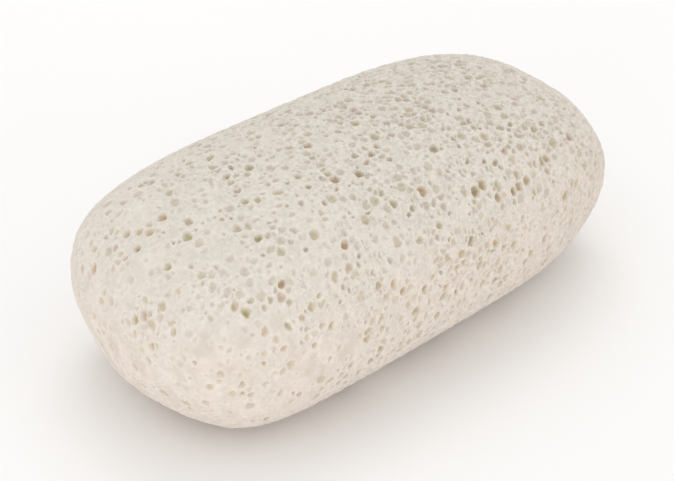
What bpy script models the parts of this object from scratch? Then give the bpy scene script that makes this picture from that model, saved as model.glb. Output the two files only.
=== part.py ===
"""A natural pumice stone: one light bar of volcanic foam, ground to fit the hand.

The stone is a single solid. Its body is a rounded bar with a domed top and a fuller underside, which
hand grinding has flattened a little in six places. The large gas bubbles that the grinding cut open are
pits all over it, drawn out slightly along the way the lava flowed. It rests on one flat, the foot.

Metres, +Z up. The origin is the centre of the footprint, on the foot's plane. +X runs along the stone.
"""

import math

import bmesh
import bpy
import numpy as np
from mathutils import Euler, Matrix, Vector

MM = 0.001

# The rounded bar, before grinding. The half sizes are measured from the bar's middle.
HALF_LENGTH = 50.0 * MM
HALF_WIDTH = 25.7 * MM
HALF_HEIGHT = 18.9 * MM
HALF_SIZES = (HALF_LENGTH, HALF_WIDTH, HALF_HEIGHT)
PLAN_SQUARENESS = 3.45  # 2 is an ellipse seen from above, and more is closer to a rectangle
TOP_SQUARENESS = 2.3  # the same for the profile of the top, which is domed
UNDERSIDE_SQUARENESS = 3.45
BLEND_SHARPNESS = 3.0  # how quickly the top's profile turns into the underside's
WIDTH_TAPER = -0.053  # share of the width that the +X end loses, and the -X end gains
HEIGHT_TAPER = -0.023

# Where grinding flattened the bar: azimuth and elevation of the flat, and its distance from the middle.
GROUND_FLATS = (
    (160.0, -19.0, 47.5 * MM),
    (201.0, -29.0, 46.4 * MM),
    (272.0, -43.0, 24.5 * MM),
    (336.0, 26.0, 45.3 * MM),
    (289.0, -19.0, 31.7 * MM),
    (155.0, 20.0, 47.5 * MM),
)
GRINDING_SOFTNESS = 2.5 * MM

FOOT_DEPTH = 0.6 * MM  # how much of the underside the foot's plane takes off
FACET_LENGTH = 5.2 * MM  # side of the facets that the body is made of

# The foam: at most one large gas bubble in each cell of a lattice that stands askew in the stone.
FOAM_SEED = 10
FOAM_TURN = (25.0, 20.0, 30.0)  # how the lattice is turned about X, Y and Z, in degrees
FLOW_DIRECTION = (0.55, 0.60, 0.58)  # the way the lava flowed and drew its bubbles out
FLOW_STRETCH = 1.25
BUBBLE_CELL = 2.4 * MM
BUBBLE_EVENNESS = 0.7  # 1 is a bubble in the middle of each cell, 0 is one anywhere in it
BUBBLE_RADII = (0.46 * MM, 1.0 * MM)
SIZE_RARITY = 1.3  # 1 is as many bubbles of each size, and more is fewer of the largest
DENSE_HEIGHT = -7.0 * MM  # below this height over the middle the stone is denser
DENSE_SHARE = 0.3  # share of the cells there that hold a large bubble

# The pits: the bubbles that the skin cuts open, as deep under the skin as dust and grinding left them.
OPEN_HEIGHTS = (-0.75, 0.55)  # height of such a bubble's middle over the skin, in radii
PIT_DEPTHS = (0.35, 1.4)  # in radii
DEPTH_RARITY = 1.3  # 1 is as many pits of each depth, and more is fewer of the deepest
SKIN_SAMPLES = 9000
WELL_RADIUS = 0.78 * MM  # a deep pit as large as this, with its middle in the stone, is cut round
DIMPLE_SIDES = 5
DIMPLE_OVERSHOOT = 0.2 * MM  # how far a dimple's cutter stands out of the stone
FOOT_MARGIN = 3.0 * MM  # plain stone kept round the middle of the foot

STONE_COLOUR = (0.74, 0.66, 0.57, 1.0)
STONE_ROUGHNESS = 0.92


def unit(azimuth, elevation):
    """The unit vector at an azimuth and an elevation in degrees."""
    turn, rise = math.radians(azimuth), math.radians(elevation)
    return np.array(
        [math.cos(rise) * math.cos(turn), math.cos(rise) * math.sin(turn), math.sin(rise)]
    )


def stone_surface(box_points):
    """Points of the stone's skin, measured from its middle, for points of the box that holds the bar.

    Each point is drawn in along its ray to the superellipsoid, tapered, and pushed back softly to the
    flats that stand in its way.
    """
    rays = box_points / np.linalg.norm(box_points, axis=1, keepdims=True)
    upper = 0.5 * (1 + np.tanh(BLEND_SHARPNESS * rays[:, 2]))
    profile = UNDERSIDE_SQUARENESS + (TOP_SQUARENESS - UNDERSIDE_SQUARENESS) * upper
    x, y, z = np.abs(box_points / HALF_SIZES).T
    plan = (x**PLAN_SQUARENESS + y**PLAN_SQUARENESS) ** (1 / PLAN_SQUARENESS)
    points = box_points / ((plan**profile + z**profile) ** (1 / profile))[:, None]
    along = points[:, 0] / HALF_LENGTH
    points[:, 1] *= 1 + WIDTH_TAPER * along
    points[:, 2] *= 1 + HEIGHT_TAPER * along
    for azimuth, elevation, distance in GROUND_FLATS:
        outward = unit(azimuth, elevation)
        excess = 2 * (points @ outward - distance) / GRINDING_SOFTNESS
        points -= np.outer(np.logaddexp(0, excess) * GRINDING_SOFTNESS / 2, outward)
    return points


def foot_height():
    """Height of the foot's plane over the stone's middle, a negative number."""
    below = np.array([[0.0, 0.0, -HALF_HEIGHT]])
    return stone_surface(below)[0, 2] + FOOT_DEPTH


def box_grid():
    """A box of the bar's size, in quads of about one facet length."""
    grid = bmesh.new()
    bmesh.ops.create_cube(grid, size=2.0)
    for axis, half in enumerate(HALF_SIZES):
        along = [e for e in grid.edges if abs(e.verts[0].co[axis] - e.verts[1].co[axis]) > 0.5]
        cuts = round(2 * half / FACET_LENGTH) - 1
        bmesh.ops.subdivide_edges(grid, edges=along, cuts=cuts, use_grid_fill=True)
    bmesh.ops.scale(grid, vec=HALF_SIZES, verts=grid.verts)
    return grid


def stone_body():
    """The ground bar with its foot cut flat, standing on the plane z = 0."""
    body = box_grid()
    corners = stone_surface(np.array([v.co for v in body.verts]))
    foot = foot_height()
    for vertex, corner in zip(body.verts, corners):
        vertex.co = Vector(corner) - Vector((0, 0, foot))
    everything = body.verts[:] + body.edges[:] + body.faces[:]
    cut = bmesh.ops.bisect_plane(
        body, geom=everything, plane_co=(0, 0, 0), plane_no=(0, 0, -1), clear_outer=True
    )
    rim = [e for e in cut["geom_cut"] if isinstance(e, bmesh.types.BMEdge)]
    bmesh.ops.edgeloop_fill(body, edges=rim)
    bmesh.ops.recalc_face_normals(body, faces=body.faces)
    mesh = bpy.data.meshes.new("pumice_stone")
    body.to_mesh(mesh)
    body.free()
    mesh.shade_smooth()
    return mesh


def skin_samples(count, chance):
    """Random places on the skin, foot included, and their outward normals, measured from the middle."""
    half = np.array(HALF_SIZES)
    faces = np.prod(half) / half
    axis = chance.choice(3, size=count, p=faces / faces.sum())
    rows = np.arange(count)
    places = chance.uniform(-1, 1, size=(count, 3)) * half
    places[rows, axis] = np.sign(places[rows, axis]) * half[axis]
    tiny = 0.01 * MM
    skin = []
    for turned in (0, 1, 2):
        moved = places.copy()
        if turned:
            moved[rows, (axis + turned) % 3] += tiny
        skin.append(stone_surface(moved))
        skin[-1][:, 2] = np.maximum(skin[-1][:, 2], foot_height())
    normals = np.cross(skin[1] - skin[0], skin[2] - skin[0]) * np.sign(places[rows, axis])[:, None]
    return skin[0], normals / np.linalg.norm(normals, axis=1, keepdims=True)


def foam_axes():
    """The matrix from the stone's space to the foam's: it undoes the flow's stretch, then turns."""
    flow = np.array(FLOW_DIRECTION) / np.linalg.norm(FLOW_DIRECTION)
    rounded = np.eye(3) + (1 / FLOW_STRETCH - 1) * np.outer(flow, flow)
    return np.array(Euler([math.radians(a) for a in FOAM_TURN]).to_matrix()) @ rounded


def large_bubbles():
    """Middles, in the stone's space, radii and pit depths of the large bubbles, at most one in each cell."""
    chance = np.random.default_rng(FOAM_SEED)
    axes = foam_axes()
    reach = np.ceil(np.abs(axes) @ HALF_SIZES / BUBBLE_CELL).astype(int) + 2
    cells = np.stack(np.meshgrid(*(np.arange(-n, n) for n in reach), indexing="ij"), axis=-1).reshape(-1, 3)
    jitter = 0.5 + (1 - BUBBLE_EVENNESS) * chance.uniform(-0.5, 0.5, size=cells.shape)
    spread = chance.uniform(size=len(cells)) ** SIZE_RARITY
    radii = BUBBLE_RADII[0] + (BUBBLE_RADII[1] - BUBBLE_RADII[0]) * spread
    sunk = chance.uniform(size=len(cells)) ** DEPTH_RARITY
    depths = radii * (PIT_DEPTHS[0] + (PIT_DEPTHS[1] - PIT_DEPTHS[0]) * sunk)
    middles = (cells + jitter) * BUBBLE_CELL @ np.linalg.inv(axes).T
    shares = np.where(middles[:, 2] < DENSE_HEIGHT, DENSE_SHARE, 1.0)
    blown = chance.uniform(size=len(cells)) < shares
    return middles[blown], radii[blown], depths[blown]


def open_bubbles():
    """(middle, outward normal, radius, height over the skin, pit depth) of each bubble that is cut open."""
    skin, normals = skin_samples(SKIN_SAMPLES, np.random.default_rng(FOAM_SEED))
    pits = []
    for middle, radius, depth in zip(*large_bubbles()):
        nearest = np.argmin(np.linalg.norm(skin - middle, axis=1))
        height = (middle - skin[nearest]) @ normals[nearest]
        beside = np.linalg.norm(middle - skin[nearest]) > 2 * radius
        under_foot = np.linalg.norm(middle - (0, 0, foot_height())) < FOOT_MARGIN + radius
        if not beside and not under_foot and OPEN_HEIGHTS[0] < height / radius < OPEN_HEIGHTS[1]:
            deepest = min(depth, radius - height)
            pits.append((Vector(middle), Vector(normals[nearest]), radius, height, deepest))
    return pits


def add_well(cutter, middle, radius, chance):
    """A sphere drawn out along the flow, with its facets turned at random."""
    along_flow = Vector(FLOW_DIRECTION).to_track_quat("Z", "Y").to_matrix().to_4x4()
    stretch = Matrix.Diagonal((1, 1, FLOW_STRETCH, 1))
    spin = Matrix.Rotation(chance.uniform(0, math.tau), 4, Vector(chance.normal(size=3)).normalized())
    place = Matrix.Translation(middle) @ along_flow @ stretch @ spin
    bmesh.ops.create_icosphere(cutter, subdivisions=1, radius=radius, matrix=place)


def add_dimple(cutter, mouth_middle, outward, mouth, depth, chance):
    """A cone pointing into the stone, with its mouth and its depth measured at the skin."""
    length = depth + DIMPLE_OVERSHOOT
    upright = outward.to_track_quat("Z", "Y").to_matrix().to_4x4()
    spin = Matrix.Rotation(chance.uniform(0, math.tau), 4, "Z")
    raised = Matrix.Translation(mouth_middle + outward * (length / 2 - depth))
    bmesh.ops.create_cone(
        cutter,
        cap_ends=True,
        segments=DIMPLE_SIDES,
        radius1=0.0,
        radius2=mouth * length / depth,
        depth=length,
        matrix=raised @ upright @ spin,
    )


def pit_cutter():
    """One mesh, on the foot's plane, of all that cuts pits."""
    cutter = bmesh.new()
    chance = np.random.default_rng(FOAM_SEED + 1)
    standing = Vector((0, 0, -foot_height()))
    for middle, outward, radius, height, depth in open_bubbles():
        if radius > WELL_RADIUS and height < 0 and depth > radius:
            add_well(cutter, middle + standing, radius, chance)
        else:
            mouth = math.sqrt(radius**2 - height**2)
            add_dimple(cutter, middle + standing - outward * height, outward, mouth, depth, chance)
    bmesh.ops.recalc_face_normals(cutter, faces=cutter.faces)
    mesh = bpy.data.meshes.new("pit_cutter")
    cutter.to_mesh(mesh)
    cutter.free()
    return mesh


def pumice():
    """The finish of the whole stone: pale cream glass foam, quite dull."""
    material = bpy.data.materials.new("pumice")
    material.use_nodes = True
    shader = material.node_tree.nodes["Principled BSDF"]
    shader.inputs["Base Color"].default_value = STONE_COLOUR
    shader.inputs["Roughness"].default_value = STONE_ROUGHNESS
    shader.inputs["Metallic"].default_value = 0.0
    return material


def collection(name):
    made = bpy.data.collections.new(name)
    bpy.context.scene.collection.children.link(made)
    return made


def main():
    for old in list(bpy.data.objects):
        bpy.data.objects.remove(old)
    stone = bpy.data.objects.new("pumice_stone", stone_body())
    stone.data.materials.append(pumice())
    collection("Pumice stone").objects.link(stone)
    bubbles = bpy.data.objects.new("pit_cutter", pit_cutter())
    bubbles.hide_render = True
    bubbles.display_type = "WIRE"
    collection("Cutters").objects.link(bubbles)
    pits = stone.modifiers.new("Pits", "BOOLEAN")
    pits.operation = "DIFFERENCE"
    pits.object = bubbles


main()
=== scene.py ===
"""A natural pumice stone: the finished skin of one bar of volcanic foam, and a plain studio to show it in.

The stone is one closed surface. Its skin follows the ground bar's own formula, and every point of it is
pushed straight in to the far wall of the gas bubble that the skin cuts there. Metres, +Z up.
"""

import math
from typing import NamedTuple

import bpy
import numpy as np
from bpy.props import FloatProperty, FloatVectorProperty, IntProperty, PointerProperty
from bpy.types import Operator, Panel, PropertyGroup
from mathutils import Euler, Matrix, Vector


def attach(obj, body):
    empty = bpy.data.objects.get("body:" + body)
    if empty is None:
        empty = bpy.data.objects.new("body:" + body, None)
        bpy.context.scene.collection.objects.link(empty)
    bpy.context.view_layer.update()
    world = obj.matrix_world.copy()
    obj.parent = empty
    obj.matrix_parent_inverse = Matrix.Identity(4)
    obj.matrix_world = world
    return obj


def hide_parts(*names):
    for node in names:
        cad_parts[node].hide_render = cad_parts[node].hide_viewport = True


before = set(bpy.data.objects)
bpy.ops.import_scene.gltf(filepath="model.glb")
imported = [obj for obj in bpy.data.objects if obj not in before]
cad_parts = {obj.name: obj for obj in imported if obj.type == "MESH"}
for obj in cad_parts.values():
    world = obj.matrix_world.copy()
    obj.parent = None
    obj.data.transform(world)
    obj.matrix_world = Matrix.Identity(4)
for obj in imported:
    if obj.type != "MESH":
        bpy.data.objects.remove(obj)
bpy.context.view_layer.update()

bl_info = {
    "name": "Pumice Stone",
    "version": (1, 0, 0),
    "blender": (4, 5, 0),
    "location": "View3D > Sidebar > Pumice",
    "description": "A hand-ground bar of pale volcanic foam, and the studio round it",
    "category": "Add Mesh",
}

MM = 0.001
NODE = "pumice_stone"

# The ground bar: the same driving dimensions as the solid's. A squareness of 2 is an ellipse.
HALF_LENGTH = 50.0 * MM
HALF_WIDTH = 25.7 * MM
HALF_HEIGHT = 18.9 * MM
HALF_SIZES = np.array([HALF_LENGTH, HALF_WIDTH, HALF_HEIGHT])
PLAN_SQUARENESS = 3.45
TOP_SQUARENESS = 2.3
UNDERSIDE_SQUARENESS = 3.45
BLEND_SHARPNESS = 3.0  # how quickly the top's profile turns into the underside's
WIDTH_TAPER = -0.053  # share of the width that the +X end loses, and the -X end gains
HEIGHT_TAPER = -0.023
# Azimuth and elevation of each flat that grinding left, and its distance from the middle.
GROUND_FLATS = (
    (160.0, -19.0, 47.5 * MM),
    (201.0, -29.0, 46.4 * MM),
    (272.0, -43.0, 24.5 * MM),
    (336.0, 26.0, 45.3 * MM),
    (289.0, -19.0, 31.7 * MM),
    (155.0, 20.0, 47.5 * MM),
)
GRINDING_SOFTNESS = 2.5 * MM
FOOT_DEPTH = 0.6 * MM  # how much of the underside the foot's plane takes off

# Slow noise is a sum of sine waves, whose lengths lie between these shares of its own.
WAVE_COUNT = 8
WAVE_LENGTHS = (0.7, 1.5)
# Length and seed of the noise in the ground face's low lumps, in its folds and in how foamy the stone is.
LUMP_WAVES = (2.6 * MM, 71)
FOLD_WAVES = (1.7 * MM, 81)
OPENNESS_WAVES = (16 * MM, 31)
# The bubbles are crooked twice over, each time by noise of that length, size and seed.
WOBBLES = ((1.6 * MM, 0.11 * MM, 50), (0.7 * MM, 0.05 * MM, 60))

# How foamy the stone is, its openness, from 0 to 1: the least, and what is added at most towards the +X
# end, away from the waist towards the top and the underside, and by chance.
LEAST_OPENNESS = 0.37
OPENNESS_ALONG = 0.34
OPENNESS_OFF_WAIST = 0.19
OPENNESS_BY_CHANCE = 0.14
OPENING_PLACE = -15 * MM  # where along the stone half of the first addition is reached
OPENING_LENGTH = 20 * MM
WAIST_HEIGHT = -1.5 * MM
WAIST_REACH = 9 * MM


class Bubbles(NamedTuple):
    """One size of gas bubbles, at most one in each cell of a lattice of its own."""

    cell: float  # side of a cell
    turn: tuple  # how the lattice is turned about X, Y and Z, in degrees
    evenness: float  # 1 is a bubble in the middle of each cell, 0 is one anywhere in it
    radii: tuple  # the least and the most
    seed: int
    size_rarity: float = 1.0  # 1 is as many bubbles of each size, and more is fewer of the largest
    share: float | None = None  # of the cells filled where the openness is 1. None for the large ones


# The way the lava flowed, and how many times as long that made its bubbles.
FLOW_DIRECTION = np.array([0.55, 0.60, 0.58]) / np.linalg.norm([0.55, 0.60, 0.58])
FLOW_STRETCH = 1.25
# The large bubbles are the solid's own, so that its pits are this skin's deepest ones.
LARGE_BUBBLES = Bubbles(
    cell=2.4 * MM, turn=(25.0, 20.0, 30.0), evenness=0.7,
    radii=(0.46 * MM, 1.0 * MM), seed=10, size_rarity=1.3,
)
LARGE_DEPTHS = (0.35, 1.4)  # depths of their pits, in radii
LARGE_DEPTH_RARITY = 1.3  # 1 is as many pits of each depth, and more is fewer of the deepest
DENSE_HEIGHT = -7.0 * MM  # below this height over the middle the stone is denser
DENSE_SHARE = 0.3  # share of the cells there that hold a large bubble
SMALL_BUBBLES = (
    Bubbles(
        cell=1.30 * MM, turn=(40.0, 10.0, 15.0), evenness=0.35,
        radii=(0.45 * MM, 0.98 * MM), seed=11, share=1.32,
    ),
    Bubbles(
        cell=0.85 * MM, turn=(15.0, 35.0, 60.0), evenness=0.2,
        radii=(0.27 * MM, 0.48 * MM), seed=12, share=1.06,
    ),
)
SHARE_POWER = 1.5  # the power of the openness that the share of filled cells goes with
SHARE_SOFTNESS = 0.12  # how softly the bubbles shrink where that share runs out
LEAST_GROWTH = 0.6  # a bubble shrunk to less than this share of the least radius isn't there
CLEARANCE = 0.3  # how far its middle stays outside the bubbles that are there already, in radii

# What a measure of the pits is multiplied by where the openness is 0, and where it is 1.
DEPTH_SHARES = (0.60, 1.20)  # of the small pits
WALL_SHARES = (1.6, 0.6)
WEAR = (1.9, 0.7)  # of the sloping sides, which rubbing wears wide where the stone is dense
LEAST_DEPTH = 0.01 * MM  # of a pit, because its shape is worked out in depths
FOLD_CREST = 0.15  # how near to zero a fold's noise is along its crest, where a highlight is painted
FOLD_HIGHLIGHT = 0.6  # strength of the painted highlight on such a crest, where a rim's is 1

# What each point of the skin holds for the material: how deep the pit is there, in millimetres, how strong
# the painted highlight on the top of a rim or a wall is, the tint of the bubble, and how foamy the stone
# is.
MARKS = ("pit_depth", "crest_highlight", "tint", "openness")


def linear(code):
    """The linear values of an sRGB hex colour, and full opacity."""
    shares = [int(code[i : i + 2], 16) / 255 for i in (0, 2, 4)]
    return [s / 12.92 if s <= 0.04045 else ((s + 0.055) / 1.055) ** 2.4 for s in shares] + [1.0]


def unit(azimuth, elevation):
    """The unit vector at an azimuth and an elevation in degrees."""
    turn, rise = math.radians(azimuth), math.radians(elevation)
    return np.array(
        [math.cos(rise) * math.cos(turn), math.cos(rise) * math.sin(turn), math.sin(rise)]
    )


def between(limits, shares):
    """The first limit plus that share of the way to the second."""
    return limits[0] + (limits[1] - limits[0]) * shares


def smoothstep(values):
    """A soft step from 0 to 1: with the value s held between those, 3 s squared less 2 s cubed."""
    shares = np.clip(values, 0, 1)
    return shares * shares * (3 - 2 * shares)


def stone_surface(box_points):
    """Points of the stone's skin, measured from its middle, for points of the box that holds the bar.

    Each point is drawn in along its ray to the superellipsoid, tapered, and pushed back softly to the
    flats that stand in its way.
    """
    rays = box_points / np.linalg.norm(box_points, axis=1, keepdims=True)
    upper = 0.5 * (1 + np.tanh(BLEND_SHARPNESS * rays[:, 2]))
    profile = UNDERSIDE_SQUARENESS + (TOP_SQUARENESS - UNDERSIDE_SQUARENESS) * upper
    x, y, z = np.abs(box_points / HALF_SIZES).T
    plan = (x**PLAN_SQUARENESS + y**PLAN_SQUARENESS) ** (1 / PLAN_SQUARENESS)
    points = box_points / ((plan**profile + z**profile) ** (1 / profile))[:, None]
    along = points[:, 0] / HALF_LENGTH
    points[:, 1] *= 1 + WIDTH_TAPER * along
    points[:, 2] *= 1 + HEIGHT_TAPER * along
    for azimuth, elevation, distance in GROUND_FLATS:
        outward = unit(azimuth, elevation)
        excess = 2 * (points @ outward - distance) / GRINDING_SOFTNESS
        points -= np.outer(np.logaddexp(0, excess) * GRINDING_SOFTNESS / 2, outward)
    return points


def foot_height():
    """Height of the foot's plane over the stone's middle, a negative number."""
    below = np.array([[0.0, 0.0, -HALF_HEIGHT]])
    return stone_surface(below)[0, 2] + FOOT_DEPTH


def box_lattice(spacing):
    """Points on the faces of the bar's box, that far apart, and the quads between them, facing out.

    A point's lattice numbers along X, Y and Z make one key, so that faces share the points of an edge.
    """
    steps = np.round(2 * HALF_SIZES / spacing).astype(int)
    quads = []
    for axis in range(3):
        u, v = (axis + 1) % 3, (axis + 2) % 3
        for side in (0, 1):
            numbers = [None] * 3
            numbers[u], numbers[v] = np.meshgrid(
                np.arange(steps[u] + 1), np.arange(steps[v] + 1), indexing="ij"
            )
            numbers[axis] = np.full_like(numbers[u], side * steps[axis])
            key = np.ravel_multi_index(tuple(numbers), steps + 1)
            ring = [key[:-1, :-1], key[1:, :-1], key[1:, 1:], key[:-1, 1:]]
            quads.append(np.stack(ring if side else ring[::-1], axis=-1).reshape(-1, 4))
    keys, quads = np.unique(np.concatenate(quads), return_inverse=True)
    columns = np.stack(np.unravel_index(keys, steps + 1), axis=1)
    return (2 * columns / steps - 1) * HALF_SIZES, quads.reshape(-1, 4)


def outward_normals(points, quads):
    """The normal at each point: the sum of the cross products of the diagonals of the quads round it."""
    corners = points[quads]
    across = np.cross(corners[:, 2] - corners[:, 0], corners[:, 3] - corners[:, 1])
    normals = np.stack(
        [
            sum(np.bincount(quads[:, c], weights=across[:, k], minlength=len(points)) for c in range(4))
            for k in range(3)
        ],
        axis=1,
    )
    return normals / np.linalg.norm(normals, axis=1, keepdims=True)


def drawn_out(vectors, stretch):
    """Vectors drawn out along the flow by that factor."""
    return vectors + np.outer(vectors @ FLOW_DIRECTION * (stretch - 1), FLOW_DIRECTION)


def waves(points, length, seed):
    """Slow noise, mostly from -1 to 1: sine waves of about that length, each in a direction of its own."""
    chance = np.random.default_rng(seed)
    total = np.zeros(len(points))
    for _ in range(WAVE_COUNT):
        direction = chance.normal(size=3)
        direction /= np.linalg.norm(direction)
        pace = 2 * math.pi / (length * chance.uniform(*WAVE_LENGTHS))
        total += np.sin(points @ direction * pace + chance.uniform(0, 2 * math.pi))
    return total / (WAVE_COUNT / 2)


def wobble(points, length, most, seed):
    """Each point moved by up to about that much, along X, Y and Z by slow noise of its own."""
    return points + most * np.stack([waves(points, length, seed + axis) for axis in range(3)], axis=1)


def openness(points):
    """How foamy the stone is there, from 0 to 1, and least at the waist of the -X end.

    It rises along the stone as half of 1 plus a hyperbolic tangent, and away from the waist as the size of
    such a tangent. Slow noise is added.
    """
    along = 0.5 + 0.5 * np.tanh((points[:, 0] - OPENING_PLACE) / OPENING_LENGTH)
    off_waist = np.abs(np.tanh((points[:, 2] - WAIST_HEIGHT) / WAIST_REACH))
    steady = LEAST_OPENNESS + OPENNESS_ALONG * along + OPENNESS_OFF_WAIST * off_waist
    return np.clip(steady + OPENNESS_BY_CHANCE * waves(points, *OPENNESS_WAVES), 0, 1)


class Foam:
    """Gas bubbles in lattices of cells, one at most in each, so that a point asks only the cells near it.

    A lattice stands askew in the stone, so that its rows don't show. Each bubble has a middle, a radius,
    the most that its pit is deep, and a tint: an even chance from 0 to 1 that decides its colour. The
    radius of a bubble that isn't there is negative.
    """

    def __init__(self):
        self.lattices = []
        self.middles = np.zeros((0, 3))
        self.radii, self.depths, self.tints = np.zeros((3, 0))

    def blow(self, bubbles, depths, depth_rarity):
        """Add one size of bubbles. The depths, in radii, are those of their shallowest and deepest pits.

        A radius lies between its limits by an even chance raised to the rarity, and so does a depth. Large
        bubbles fill every cell but some low down, where the stone is dense. The small ones fill a share of
        the cells that goes with a power of the openness there, shrink softly where it runs out, and keep
        clear of the bubbles that are there already. In dense stone their deep pits are less rare, and all
        of their pits are shallower.
        """
        chance = np.random.default_rng(bubbles.seed)
        turned = np.array(Euler([math.radians(a) for a in bubbles.turn]).to_matrix())
        half_cells = np.abs(drawn_out(turned, 1 / FLOW_STRETCH)) @ HALF_SIZES / bubbles.cell
        reach = np.ceil(half_cells).astype(int) + 2
        lattice = np.meshgrid(*(np.arange(-n, n) for n in reach), indexing="ij")
        cells = np.stack(lattice, axis=-1).reshape(-1, 3)
        jitter = 0.5 + (1 - bubbles.evenness) * chance.uniform(-0.5, 0.5, size=cells.shape)
        middles = (cells + jitter) * bubbles.cell @ turned
        in_stone = drawn_out(middles, FLOW_STRETCH)
        sizes, fates, lots, tints = chance.uniform(0, 1, size=(4, len(cells)))
        radii = between(bubbles.radii, sizes**bubbles.size_rarity)
        if bubbles.share is None:
            pit_depths = between(depths, fates**depth_rarity)
            missing = lots > np.where(in_stone[:, 2] < DENSE_HEIGHT, DENSE_SHARE, 1.0)
        else:
            foamy = openness(in_stone)
            pit_depths = between(depths, fates ** (depth_rarity * foamy)) * between(DEPTH_SHARES, foamy)
            radii *= smoothstep((bubbles.share * foamy**SHARE_POWER - lots) / SHARE_SOFTNESS)
            too_near = self.nearest(middles)[0] < CLEARANCE * radii
            missing = too_near | (radii < LEAST_GROWTH * bubbles.radii[0])
        radii[missing] = -1.0
        self.lattices.append((bubbles.cell, turned, reach, len(self.radii)))
        self.middles = np.concatenate([self.middles, middles])
        self.radii = np.concatenate([self.radii, radii])
        self.depths = np.concatenate([self.depths, radii * pit_depths])
        self.tints = np.concatenate([self.tints, tints])

    def nearest(self, points):
        """How far each point is outside its nearest bubble and its second nearest, and which the first is.

        The distance to a bubble is that to its middle less its radius, so it is negative inside. It is
        worked out for the bubbles of the point's own cell and of the 26 cells round it. One that isn't
        there counts as a metre away.
        """
        far = 1.0
        first, second = np.full(len(points), far), np.full(len(points), far)
        winner = np.zeros(len(points), dtype=int)
        for cell, turned, reach, start in self.lattices:
            home = np.floor(points @ turned.T / cell).astype(int) + reach
            for step in np.ndindex(3, 3, 3):
                x, y, z = np.clip(home + np.array(step) - 1, 0, 2 * reach - 1).T
                bubble = start + (x * 2 * reach[1] + y) * 2 * reach[2] + z
                radii = self.radii[bubble]
                gap = np.linalg.norm(points - self.middles[bubble], axis=1) - radii
                gap[radii <= 0] = far
                again = bubble == winner
                closer = (gap < first) & ~again
                second = np.where(closer, first, np.where(again, second, np.minimum(second, gap)))
                first = np.where(closer, gap, first)
                winner = np.where(closer, bubble, winner)
        return first, second, winner


def way_to_wall(offsets, inward, radii):
    """How far each point is from the far wall of its bubble along the inward vector.

    That is the larger root of: offset from the bubble's middle plus way times inward, squared, is the
    radius squared.
    """
    reach = np.einsum("ij,ij->i", offsets, inward)
    stretch = np.einsum("ij,ij->i", inward, inward)
    outside = np.einsum("ij,ij->i", offsets, offsets) - radii**2
    return (-reach + np.sqrt(np.maximum(reach**2 - stretch * outside, 0))) / stretch


def pits(skin, normals, foam, settings):
    """How deep each point is pushed in, how deep the pit there is, how strong a painted highlight is, and a
    tint.

    Inside a bubble the depth is the way along the inward normal to the bubble's far wall, and levels out
    at the bubble's own depth as a hyperbolic tangent. It falls to nothing along a parabola at the rim, and
    where two bubbles meet, so that a pit is a bowl and a thin wall of stone stands between two of them.
    How deep the pit is, for its colour, is halfway from the point's own depth to that of its deepest
    point, and falls to nothing in a soft step at the rim.

    Round the pits the ground face sinks in dishes, which fade with the distance as an exponential and
    leave a ridge halfway between two pits. It has low folds as well, as deep as the size of slow noise,
    with a crest where that crosses zero. Dishes and folds are deeper the foamier the stone is. Rims, ridges
    and fold crests get a painted highlight, a bell curve of the distance.
    """
    points, inward = drawn_out(skin, 1 / FLOW_STRETCH), drawn_out(-normals, 1 / FLOW_STRETCH)
    for length, most, seed in WOBBLES:
        points = wobble(points, length, most, seed)
    first, second, winner = foam.nearest(points)
    radii, deepest = foam.radii[winner], np.maximum(foam.depths[winner], LEAST_DEPTH)
    way = way_to_wall(points - foam.middles[winner], inward, radii)
    way = deepest * np.tanh(way / deepest)
    foamy = openness(skin)
    edge = np.minimum(-first, (second - first - settings.wall * between(WALL_SHARES, foamy)) / 2)
    worn = between(WEAR, foamy)
    slope = np.maximum(settings.rim, settings.bowl * radii) * worn
    depth = way * (1 - (1 - np.clip(edge / slope, 0, 1)) ** 2)
    floors = np.zeros(len(foam.radii))
    np.maximum.at(floors, winner, depth)
    hollow = (floors[winner] + depth) / 2 * smoothstep(edge / settings.rim / worn)

    ridge = (second - first) / 2
    near = foamy * np.exp(-np.maximum(first, 0) / settings.reach)
    dish = settings.dish * near * (1 - np.exp(-ridge / settings.reach))
    folds = np.abs(waves(skin, *FOLD_WAVES))
    # Painted highlights: along the rims, along the ridges between dishes and along the folds' crests.
    rims = np.exp(-((edge / settings.crest_highlight) ** 2))
    ridges = near * np.exp(-((ridge / settings.crest_highlight) ** 2))
    fold_highlights = FOLD_HIGHLIGHT * foamy * np.exp(-((folds / FOLD_CREST) ** 2))
    crest_highlight = np.maximum(np.maximum(rims, ridges), fold_highlights)
    return depth + dish + settings.folds * foamy * folds, hollow, crest_highlight, foam.tints[winner]


# Settings that many properties share.
SWATCH = {"subtype": "COLOR", "size": 4, "min": 0, "max": 1}
LENGTH = {"unit": "LENGTH", "precision": 5}


class PumiceBody(PropertyGroup):
    """The bar's skin."""

    spacing: FloatProperty(
        name="Skin spacing", description="Distance between the points of the skin before it is thinned",
        default=0.2 * MM, min=0.1 * MM, max=2 * MM, **LENGTH,
    )
    lumps: FloatProperty(
        name="Lumps", description="How far the ground face dips between its slow lumps",
        default=0.14 * MM, min=0, max=1 * MM, **LENGTH,
    )
    triangles: IntProperty(
        name="Triangles", description="How many triangles the finished stone keeps",
        default=196000, min=10000, max=200000,
    )
    sharp: FloatProperty(
        name="Sharp edge", description="An edge bent by more than this is drawn sharp",
        default=math.radians(35), min=0, max=math.pi, subtype="ANGLE",
    )


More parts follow.
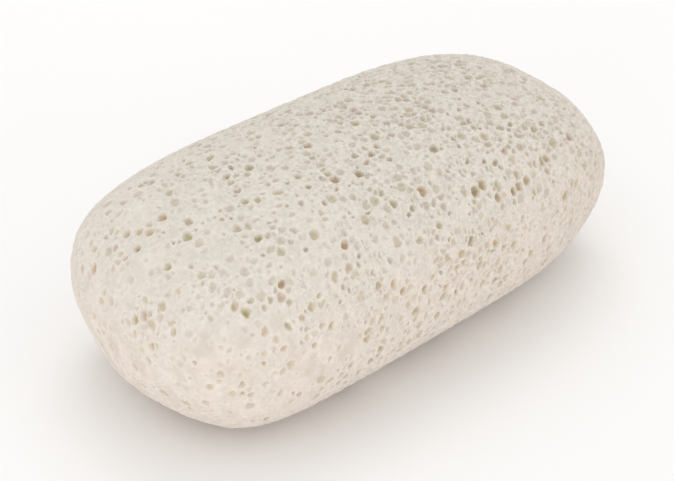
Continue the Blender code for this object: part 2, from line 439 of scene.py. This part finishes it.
class PumicePits(PropertyGroup):
    """The bubbles that the skin cuts."""

    wall: FloatProperty(
        name="Wall", description="Thickness of the stone left between two bubbles",
        default=0.12 * MM, min=0, max=2 * MM, **LENGTH,
    )
    rim: FloatProperty(
        name="Rim", description="Width of the sloping side of the smallest pits",
        default=0.16 * MM, min=0.01 * MM, max=1 * MM, **LENGTH,
    )
    bowl: FloatProperty(
        name="Bowl", description="Width of the sloping side of the other pits, in radii",
        default=0.5, min=0, max=2,
    )
    # Reach of the painted highlight along rims and walls.
    crest_highlight: FloatProperty(
        name="Crest", description="Reach of the paler glass along the rims",
        default=0.12 * MM, min=0.01 * MM, max=1 * MM, **LENGTH,
    )
    dish: FloatProperty(
        name="Dish", description="How far the ground face sinks round a pit, where the stone is foamiest",
        default=0.18 * MM, min=0, max=1 * MM, **LENGTH,
    )
    reach: FloatProperty(
        name="Dish side", description="Width of the side of such a dish",
        default=0.25 * MM, min=0.01 * MM, max=2 * MM, **LENGTH,
    )
    folds: FloatProperty(
        name="Folds", description="Depth of the hollows between the low crests of the foamiest ground face",
        default=0.18 * MM, min=0, max=1 * MM, **LENGTH,
    )
    shallow: FloatProperty(
        name="Shallow", description="Depth of the shallowest small pits, in radii",
        default=0.32, min=0, max=2,
    )
    deep: FloatProperty(
        name="Deep", description="Depth of the deepest small pits, in radii",
        default=1.5, min=0, max=3,
    )
    rarity: FloatProperty(
        name="Rarity", description="How rare the deep pits are: 1 is as common as shallow ones",
        default=5.8, min=0.1, max=20,
    )


class PumiceFinish(PropertyGroup):
    """The colours of the dry stone."""

    land: FloatVectorProperty(
        name="Ground face", description="Colour of the ground glass between the pits",
        default=linear("DFD1C6"), **SWATCH,
    )
    land_pale: FloatVectorProperty(
        name="Pale patch", description="Colour of the chalkier patches of the ground face",
        default=linear("DDD4C9"), **SWATCH,
    )
    # Partly dust and partly painted light: the paler, greyer colour that the top turns to by its height.
    top_chalk_and_light: FloatVectorProperty(
        name="Chalk", description="Colour of the dust that lies on the top",
        default=linear("DED8CC"), **SWATCH,
    )
    # Colour of the painted highlight along rims, walls and fold crests.
    rim: FloatVectorProperty(
        name="Rim", description="Colour of the thin glass along rims and walls",
        default=linear("EFE7DD"), **SWATCH,
    )
    # Also the colour of the painted shade in the sunk floors of the smallest cells.
    grey: FloatVectorProperty(
        name="Grey pit", description="Colour of the shallow pits that stay grey",
        default=linear("D4CBBF"), **SWATCH,
    )
    cream: FloatVectorProperty(
        name="Cream pit", description="Colour of the shallow pits that turn cream",
        default=linear("DACDBB"), **SWATCH,
    )
    # Painted shade: the darker colour that the pits low down on the stone are given.
    painted_low_shade: FloatVectorProperty(
        name="Low pit", description="Colour of the pits low down on the stone",
        default=linear("CCBFB0"), **SWATCH,
    )
    olive: FloatVectorProperty(
        name="Olive pit", description="Colour of the deep pits that turn green",
        default=linear("C5BB93"), **SWATCH,
    )
    ochre: FloatVectorProperty(
        name="Ochre pit", description="Colour of the deep pits that turn brown",
        default=linear("D0B78F"), **SWATCH,
    )
    rust: FloatVectorProperty(
        name="Rusty pit", description="Colour of the deep pits that turn pink",
        default=linear("D3B49E"), **SWATCH,
    )
    dust: FloatVectorProperty(
        name="Dust", description="What the grain multiplies the stone's colour by where it is darkest",
        default=linear("F5F4F2"), **SWATCH,
    )
    haze: FloatVectorProperty(
        name="Cloud", description="What the cloudy patches of the dense stone multiply its colour by",
        default=linear("F0EEEA"), **SWATCH,
    )
    dirt: FloatVectorProperty(
        name="Dirt", description="Colour of the dirt in the deepest pits",
        default=linear("8F7A55"), **SWATCH,
    )
    dirt_share: FloatProperty(
        name="Dirt share", description="How far the deepest pits turn to the dirt's colour",
        default=0.15, min=0, max=1,
    )
    # How strong the painted highlight along rims and walls is.
    rim_highlight_share: FloatProperty(
        name="Rim share", description="How far the rims turn to their own colour",
        default=0.55, min=0, max=1,
    )
    # Painted shade: how far the sunk floors of the smallest cells are greyed.
    cell_shade: FloatProperty(
        name="Cell shade", description="How far the smallest cells turn grey",
        default=0.68, min=0, max=1,
    )
    relief: FloatProperty(
        name="Relief", description="Depth of the smallest cells and of the rasp's grain",
        default=0.13 * MM, min=0, max=1 * MM, **LENGTH,
    )
    relief_share: FloatProperty(
        name="Relief share", description="How strongly that relief shows",
        default=0.75, min=0, max=1,
    )
    roughness: FloatProperty(
        name="Roughness", description="How dull the stone is: 0 is a mirror",
        default=0.92, min=0, max=1,
    )
    gloss: FloatProperty(
        name="Gloss", description="How much light its face mirrors: 0.5 is clean glass",
        default=0.3, min=0, max=1,
    )


class PumiceStudio(PropertyGroup):
    """The floor, the light and the camera."""

    floor: FloatVectorProperty(
        name="Floor", description="Colour of the floor",
        default=linear("FCFAF8"), **SWATCH,
    )
    sky: FloatProperty(
        name="Sky", description="Strength of the even light from all round",
        default=0.885, min=0, max=10,
    )
    lens: FloatProperty(
        name="Lens", description="Focal length of the camera",
        default=126.1, min=20, max=400, unit="CAMERA",
    )
    distance: FloatProperty(
        name="Camera distance", description="From the stone's middle to the camera",
        default=0.400, min=0.1, max=5, unit="LENGTH",
    )


def stone_foam(settings):
    """The stone's bubbles, from the largest to the smallest, in the space where they are round."""
    foam = Foam()
    foam.blow(LARGE_BUBBLES, LARGE_DEPTHS, LARGE_DEPTH_RARITY)
    for bubbles in SMALL_BUBBLES:
        foam.blow(bubbles, (settings.shallow, settings.deep), settings.rarity)
    return foam


# The dry stone's patterns, by their real sizes.
PATCH_NOISE = {"Scale": 1 / (1.7 * MM), "Detail": 2.0}
CLOUD_NOISE = {"Scale": 1 / (3.4 * MM), "Detail": 2.0}
CELLS = {"Scale": 1 / (0.8 * MM)}
CROOKED_NOISE = {"Scale": 1 / (0.8 * MM), "Detail": 1.0}
CROOKEDNESS = 0.4 * MM  # how far the walls of the cells stray
GRAIN_NOISE = {"Scale": 1 / (0.30 * MM), "Detail": 3.0}
DUST_NOISE = {"Scale": 1 / (0.55 * MM), "Detail": 3.0}
# Shares of the looks that are mixed.
PATCH_SHARE = 0.7
# How far the top turns to that colour of dust and painted light.
TOP_CHALK_AND_LIGHT_SHARE = 0.7
GREY_BY_TINT = 0.8  # what a pit's tint has to do with its being grey, where its height counts as 1
AGED_SHARE = 0.25  # how far the deep pits of the top turn to grey
TURNED_SHARE = 0.18  # how much the shallow pits have of the deep ones' colours
LOW_SHADE_SHARE = 0.4  # how far the deep pits low down on the stone are darkened by painted shade
# Where each look sets in and where it is full. By height on the stone:
TOP = {"From Min": 18 * MM, "From Max": 36 * MM}
# Where the painted shade of the low pits sets in and where it is full.
LOW_SHADE_HEIGHTS = {"From Min": 22 * MM, "From Max": 9 * MM}
# By how foamy the stone is:
GRAINY = {"From Min": 0.35, "From Max": 0.85, "To Min": 0.25}
DENSE = {"From Min": 0.75, "From Max": 0.3}
# By the depth of the pit, in millimetres:
GROUND_FACE = {"From Min": 0.15, "From Max": 0.5, "To Min": 1.0, "To Max": 0.0}
PITTED = {"From Min": 0.05, "From Max": 0.3}
TURNED = {"From Min": 0.25, "From Max": 0.8}
DIRTY = {"From Min": 0.65, "From Max": 1.2}
# By the tint of the bubble, and for grey by its height as well:
GREY = {"From Min": 0.7, "From Max": 1.3}
BROWN = {"From Min": 0.40, "From Max": 0.65}
PINK = {"From Min": 0.75, "From Max": 0.95}
# By the lot of a cell, and by the distance from its wall, in cells:
SUNK_CELLS = {"From Min": 0.1, "From Max": 1.0}
CELL_SIDES = {"From Min": 0.02, "From Max": 0.22}
# By the value of noise, the middle of which is 0.5:
PATCHES = {"From Min": 0.38, "From Max": 0.62}
CLOUDS = {"From Min": 0.35, "From Max": 0.65}
DUSTY = {"From Min": 0.34, "From Max": 0.66}
# Settings that many nodes share: a soft step, a product, a product with a sum, a mix of two colours, and
# one colour over another as a glaze. Then a mix's sockets: how far, from and to which colour, and what
# comes of it.
SOFT = {"interpolation_type": "SMOOTHSTEP"}
TIMES = {"operation": "MULTIPLY"}
TIMES_PLUS = {"operation": "MULTIPLY_ADD"}
MIX = {"data_type": "RGBA"}
GLAZE = {"data_type": "RGBA", "blend_type": "MULTIPLY"}
BY, FROM, TO, MIXED = 0, 6, 7, 2


def add(tree, kind, settings, inputs, output):
    """Add one node with its settings, and return an output. Inputs are values or other nodes' outputs."""
    node = tree.nodes.new(kind)
    for name, value in settings.items():
        setattr(node, name, value)
    for key, value in inputs.items():
        if isinstance(value, bpy.types.NodeSocket):
            tree.links.new(value, node.inputs[key])
        else:
            node.inputs[key].default_value = value
    return node.outputs[output]


def dry_pumice(finish):
    """Dry pumice, a foam of pale volcanic glass ground with a rasp: dull, chalky and full of tiny cells."""
    material = bpy.data.materials.new("dry_pumice")
    material.use_nodes = True
    tree = material.node_tree
    place = add(tree, "ShaderNodeTexCoord", {}, {}, "Object")
    height = add(tree, "ShaderNodeSeparateXYZ", {}, {"Vector": place}, "Z")
    depth, crest_highlight, tint, foamy = (
        add(tree, "ShaderNodeAttribute", {"attribute_name": name}, {}, "Fac") for name in MARKS
    )
    grainy = add(tree, "ShaderNodeMapRange", SOFT, {"Value": foamy, **GRAINY}, "Result")

    # The ground face is pinkish, with chalkier patches a millimetre or two across. Towards the top it turns
    # paler and greyer by its height: partly dust, partly painted light for how the light falls on the top.
    patch = add(tree, "ShaderNodeTexNoise", {}, {"Vector": place, **PATCH_NOISE}, "Fac")
    patch = add(tree, "ShaderNodeMapRange", SOFT, {"Value": patch, **PATCHES}, "Result")
    patch = add(tree, "ShaderNodeMath", TIMES, {0: patch, 1: PATCH_SHARE}, "Value")
    colour = add(tree, "ShaderNodeMix", MIX, {BY: patch, FROM: finish.land, TO: finish.land_pale}, MIXED)
    top = add(tree, "ShaderNodeMapRange", SOFT, {"Value": height, **TOP}, "Result")
    # Partly painted light: the top turns paler and greyer by its height alone.
    chalky = add(tree, "ShaderNodeMath", TIMES, {0: top, 1: TOP_CHALK_AND_LIGHT_SHARE}, "Value")
    colour = add(tree, "ShaderNodeMix", MIX, {BY: chalky, FROM: colour, TO: finish.top_chalk_and_light}, MIXED)

    # Where the stone is dense its face is cloudy, in patches a few millimetres across.
    cloud = add(tree, "ShaderNodeTexNoise", {}, {"Vector": place, **CLOUD_NOISE}, "Fac")
    cloud = add(tree, "ShaderNodeMapRange", SOFT, {"Value": cloud, **CLOUDS}, "Result")
    dense = add(tree, "ShaderNodeMapRange", SOFT, {"Value": foamy, **DENSE}, "Result")
    cloudy = add(tree, "ShaderNodeMath", TIMES, {0: cloud, 1: dense}, "Value")
    colour = add(tree, "ShaderNodeMix", GLAZE, {BY: cloudy, FROM: colour, TO: finish.haze}, MIXED)

    # Cells too small for the mesh, drawn 0.8 mm across so that they show. Their walls are crooked, and each
    # is sunk by a lot of its own.
    # The sunk floor of each cell is greyed as painted shade.
    crooked = add(tree, "ShaderNodeTexNoise", {}, {"Vector": place, **CROOKED_NOISE}, "Color")
    crooked = add(
        tree, "ShaderNodeVectorMath", TIMES_PLUS, {0: crooked, 1: (CROOKEDNESS,) * 3, 2: place}, "Vector"
    )
    cell = {"Vector": crooked, **CELLS}
    lot = add(tree, "ShaderNodeTexVoronoi", {"feature": "F1"}, cell, "Color")
    lot = add(tree, "ShaderNodeSeparateColor", {}, {"Color": lot}, "Red")
    lot = add(tree, "ShaderNodeMapRange", SOFT, {"Value": lot, **SUNK_CELLS}, "Result")
    wall = add(tree, "ShaderNodeTexVoronoi", {"feature": "DISTANCE_TO_EDGE"}, cell, "Distance")
    inside = add(tree, "ShaderNodeMapRange", SOFT, {"Value": wall, **CELL_SIDES}, "Result")
    face = add(tree, "ShaderNodeMapRange", SOFT, {"Value": depth, **GROUND_FACE}, "Result")
    cellular = add(tree, "ShaderNodeMath", TIMES, {0: grainy, 1: face}, "Value")
    sunk = add(tree, "ShaderNodeMath", TIMES, {0: inside, 1: lot}, "Value")
    sunk = add(tree, "ShaderNodeMath", TIMES, {0: sunk, 1: cellular}, "Value")
    # Painted shade: the deeper a small cell is sunk, the greyer its floor.
    painted_cell_shade = add(tree, "ShaderNodeMath", TIMES, {0: sunk, 1: finish.cell_shade}, "Value")
    colour = add(tree, "ShaderNodeMix", MIX, {BY: painted_cell_shade, FROM: colour, TO: finish.grey}, MIXED)

    # A pit is cream, or grey where dust lies in it, as it does most on the top. The deeper the pit is, the
    # more it has turned olive, ochre or rusty. Low down on the stone all of them are darkened by painted
    # shade.
    grey = add(tree, "ShaderNodeMath", TIMES_PLUS, {0: tint, 1: GREY_BY_TINT, 2: top}, "Value")
    grey = add(tree, "ShaderNodeMapRange", SOFT, {"Value": grey, **GREY}, "Result")
    pale = add(tree, "ShaderNodeMix", MIX, {BY: grey, FROM: finish.cream, TO: finish.grey}, MIXED)
    brown = add(tree, "ShaderNodeMapRange", SOFT, {"Value": tint, **BROWN}, "Result")
    turned = add(tree, "ShaderNodeMix", MIX, {BY: brown, FROM: finish.olive, TO: finish.ochre}, MIXED)
    pink = add(tree, "ShaderNodeMapRange", SOFT, {"Value": tint, **PINK}, "Result")
    turned = add(tree, "ShaderNodeMix", MIX, {BY: pink, FROM: turned, TO: finish.rust}, MIXED)
    aged = add(tree, "ShaderNodeMath", TIMES, {0: top, 1: AGED_SHARE}, "Value")
    turned = add(tree, "ShaderNodeMix", MIX, {BY: aged, FROM: turned, TO: finish.grey}, MIXED)
    pale = add(tree, "ShaderNodeMix", MIX, {BY: TURNED_SHARE, FROM: pale, TO: turned}, MIXED)
    # Painted shade: the pits turn darker low down on the stone, near the floor.
    low = add(tree, "ShaderNodeMapRange", SOFT, {"Value": height, **LOW_SHADE_HEIGHTS}, "Result")
    pale = add(tree, "ShaderNodeMix", MIX, {BY: low, FROM: pale, TO: finish.painted_low_shade}, MIXED)
    low = add(tree, "ShaderNodeMath", TIMES, {0: low, 1: LOW_SHADE_SHARE}, "Value")
    turned = add(tree, "ShaderNodeMix", MIX, {BY: low, FROM: turned, TO: finish.painted_low_shade}, MIXED)
    pitted = add(tree, "ShaderNodeMapRange", SOFT, {"Value": depth, **PITTED}, "Result")
    colour = add(tree, "ShaderNodeMix", MIX, {BY: pitted, FROM: colour, TO: pale}, MIXED)
    deep = add(tree, "ShaderNodeMapRange", SOFT, {"Value": depth, **TURNED}, "Result")
    colour = add(tree, "ShaderNodeMix", MIX, {BY: deep, FROM: colour, TO: turned}, MIXED)

    # The deepest pits hold some dark dirt.
    dirty = add(
        tree, "ShaderNodeMapRange", SOFT, {"Value": depth, **DIRTY, "To Max": finish.dirt_share}, "Result"
    )
    colour = add(tree, "ShaderNodeMix", MIX, {BY: dirty, FROM: colour, TO: finish.dirt}, MIXED)

    # Painted highlight: rims, walls and fold crests are made paler, where their thin glass would catch and
    # let through light.
    rim_highlight = add(tree, "ShaderNodeMath", TIMES, {0: crest_highlight, 1: finish.rim_highlight_share}, "Value")
    colour = add(tree, "ShaderNodeMix", MIX, {BY: rim_highlight, FROM: colour, TO: finish.rim}, MIXED)

    # The grain of the rasp, drawn a third of a millimetre wide so that it shows, and the dust in it, which
    # darkens the stone a little.
    grain = add(tree, "ShaderNodeTexNoise", {}, {"Vector": place, **GRAIN_NOISE}, "Fac")
    dusty = add(tree, "ShaderNodeTexNoise", {}, {"Vector": place, **DUST_NOISE}, "Fac")
    dusty = add(tree, "ShaderNodeMapRange", SOFT, {"Value": dusty, **DUSTY}, "Result")
    dusty = add(tree, "ShaderNodeMath", TIMES, {0: dusty, 1: grainy}, "Value")
    colour = add(tree, "ShaderNodeMix", GLAZE, {BY: dusty, FROM: colour, TO: finish.dust}, MIXED)
    rough = add(tree, "ShaderNodeMath", TIMES, {0: grain, 1: grainy}, "Value")
    relief = add(tree, "ShaderNodeMath", {"operation": "SUBTRACT"}, {0: rough, 1: sunk}, "Value")
    bump = add(
        tree, "ShaderNodeBump", {},
        {"Height": relief, "Strength": finish.relief_share, "Distance": finish.relief}, "Normal",
    )

    shader = tree.nodes["Principled BSDF"]
    tree.links.new(colour, shader.inputs["Base Color"])
    tree.links.new(bump, shader.inputs["Normal"])
    shader.inputs["Roughness"].default_value = finish.roughness
    shader.inputs["Specular IOR Level"].default_value = finish.gloss
    return material


def pitted_mesh(body, settings, spacing):
    """The pitted skin on the plane of its foot, as a fine mesh that holds the marks for the material."""
    box_points, quads = box_lattice(spacing)
    skin = stone_surface(box_points)
    skin[:, 2] = np.maximum(skin[:, 2], foot_height())
    normals = outward_normals(skin, quads)
    depths, hollows, crests, tints = pits(skin, normals, stone_foam(settings), settings)
    depths += body.lumps * (1 + waves(skin, *LUMP_WAVES)) / 2
    pitted = skin - normals * depths[:, None]
    pitted[:, 2] -= foot_height()
    mesh = bpy.data.meshes.new("dense_stone")
    mesh.from_pydata(pitted, [], quads, shade_flat=False)
    for name, values in zip(MARKS, (hollows / MM, crests, tints, openness(skin))):
        mesh.attributes.new(name, "FLOAT", "POINT").data.foreach_set("value", values.astype(np.float32))
    return mesh


def thinned(mesh, triangles):
    """The mesh of quads brought down to that many triangles, which takes most out where it is smoothest."""
    holder = bpy.data.objects.new(mesh.name, mesh)
    bpy.context.collection.objects.link(holder)
    thin = holder.modifiers.new("Thin", "DECIMATE")
    thin.ratio = min(1.0, triangles / (2 * len(mesh.polygons)))
    evaluated = holder.evaluated_get(bpy.context.evaluated_depsgraph_get())
    finished = bpy.data.meshes.new_from_object(evaluated)
    bpy.data.objects.remove(holder)
    return finished


class PUMICE_OT_grind_stone(Operator):
    """Make the stone's pitted skin"""

    bl_idname = "pumice.grind_stone"
    bl_label = "Grind stone"

    def execute(self, context):
        body = context.scene.pumice_body
        spacing = body.spacing * 1
        skin = thinned(pitted_mesh(body, context.scene.pumice_pits, spacing), body.triangles)
        skin.shade_smooth()
        skin.set_sharp_from_angle(angle=body.sharp)
        skin.materials.append(dry_pumice(context.scene.pumice_finish))
        stone = bpy.data.objects.new("pitted_stone", skin)
        context.collection.objects.link(stone)
        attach(stone, "root")
        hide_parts(NODE)
        return {"FINISHED"}


FLOOR_REACH = 3.0  # from the stone to each side of the floor
PAPER_ROUGHNESS = 0.9
SKY_COLOUR = (0.98, 0.985, 0.99, 1)
# The camera looks down at the -X end and the -Y side: azimuth and elevation of its view, in degrees.
CAMERA_AZIMUTH = 48.35
CAMERA_ELEVATION = -34.0
SENSOR_WIDTH = 36  # in millimetres
STONE_MIDDLE = Vector((0, 0, 18.3 * MM))
# How far to the left of the stone's middle and below it the camera aims.
AIM_LEFT = 2.07 * MM
AIM_BELOW = 3.20 * MM


def studio_floor(studio):
    """A floor of plain pale paper, dull all over, under the stone."""
    corners = [(x * FLOOR_REACH, y * FLOOR_REACH, 0) for x, y in ((-1, -1), (1, -1), (1, 1), (-1, 1))]
    mesh = bpy.data.meshes.new("floor")
    mesh.from_pydata(corners, [], [(0, 1, 2, 3)])
    material = bpy.data.materials.new("pale_paper")
    material.use_nodes = True
    shader = material.node_tree.nodes["Principled BSDF"]
    shader.inputs["Base Color"].default_value = studio.floor
    shader.inputs["Roughness"].default_value = PAPER_ROUGHNESS
    mesh.materials.append(material)
    floor = bpy.data.objects.new("floor", mesh)
    bpy.context.collection.objects.link(floor)


def studio_lamp(name, place, width, height, watts, colour):
    """A soft lamp of that width and height, which faces the middle of the stone's foot."""
    lamp = bpy.data.lights.new(name, "AREA")
    lamp.shape = "RECTANGLE"
    lamp.size, lamp.size_y = width, height
    lamp.energy = watts
    lamp.color = colour
    holder = bpy.data.objects.new(name, lamp)
    holder.location = place
    holder.rotation_euler = (Vector(place) * -1).to_track_quat("-Z", "Y").to_euler()
    holder.visible_camera = False
    bpy.context.collection.objects.link(holder)


def studio_sky(studio):
    """Even light from all round, almost white."""
    world = bpy.data.worlds.new("studio")
    world.use_nodes = True
    background = world.node_tree.nodes["Background"]
    background.inputs["Color"].default_value = SKY_COLOUR
    background.inputs["Strength"].default_value = studio.sky
    bpy.context.scene.world = world


def studio_camera(studio):
    """The camera, set back from the stone's middle by its distance and aimed a little beside it."""
    turn = math.radians(CAMERA_AZIMUTH)
    ahead = Vector(unit(CAMERA_AZIMUTH, CAMERA_ELEVATION))
    right = Vector((math.sin(turn), -math.cos(turn), 0))
    up = right.cross(ahead)
    camera = bpy.data.cameras.new("camera")
    camera.lens = studio.lens
    camera.sensor_width = SENSOR_WIDTH
    holder = bpy.data.objects.new("camera", camera)
    holder.location = STONE_MIDDLE - ahead * studio.distance
    aim = STONE_MIDDLE - right * AIM_LEFT - up * AIM_BELOW
    holder.rotation_euler = (aim - holder.location).to_track_quat("-Z", "Y").to_euler()
    bpy.context.collection.objects.link(holder)
    bpy.context.scene.camera = holder


class PUMICE_OT_set_stage(Operator):
    """Set the floor, the light and the camera"""

    bl_idname = "pumice.set_stage"
    bl_label = "Set stage"

    def execute(self, context):
        studio = context.scene.pumice_studio
        studio_floor(studio)
        # A low, broad lamp beyond the -X end, one high up, and a weak one beyond the -Y side.
        studio_lamp("key", (-0.88, -0.36, 0.10), width=0.8, height=0.3, watts=2.5, colour=(0.905, 0.95, 1))
        studio_lamp("top", (0.25, 0.25, 0.80), width=0.5, height=0.5, watts=1.15, colour=(0.93, 0.97, 1))
        studio_lamp("fill", (0.35, -0.90, 0.12), width=0.5, height=0.5, watts=1.1, colour=(1, 0.96, 0.92))
        studio_sky(studio)
        context.scene.view_settings.view_transform = "Standard"
        studio_camera(studio)
        return {"FINISHED"}


class PUMICE_PT_panel(Panel):
    """Everything that makes the stone and its stage"""

    bl_label = "Pumice stone"
    bl_space_type = "VIEW_3D"
    bl_region_type = "UI"
    bl_category = "Pumice"

    def draw(self, context):
        layout = self.layout
        for group in GROUPS:
            settings = getattr(context.scene, group)
            box = layout.box()
            for name in settings.__annotations__:
                box.prop(settings, name)
        for operator in OPERATORS:
            layout.operator(operator.bl_idname)


OPERATORS = (PUMICE_OT_grind_stone, PUMICE_OT_set_stage)
GROUPS = {
    "pumice_body": PumiceBody,
    "pumice_pits": PumicePits,
    "pumice_finish": PumiceFinish,
    "pumice_studio": PumiceStudio,
}


def register():
    for kind in (*GROUPS.values(), *OPERATORS, PUMICE_PT_panel):
        bpy.utils.register_class(kind)
    for name, kind in GROUPS.items():
        setattr(bpy.types.Scene, name, PointerProperty(type=kind))


def unregister():
    for name in GROUPS:
        delattr(bpy.types.Scene, name)
    for kind in (PUMICE_PT_panel, *OPERATORS, *GROUPS.values()):
        bpy.utils.unregister_class(kind)


def main():
    """Make the stone and its stage."""
    register()
    bpy.ops.pumice.grind_stone()
    bpy.ops.pumice.set_stage()


if __name__ == "__main__":
    main()
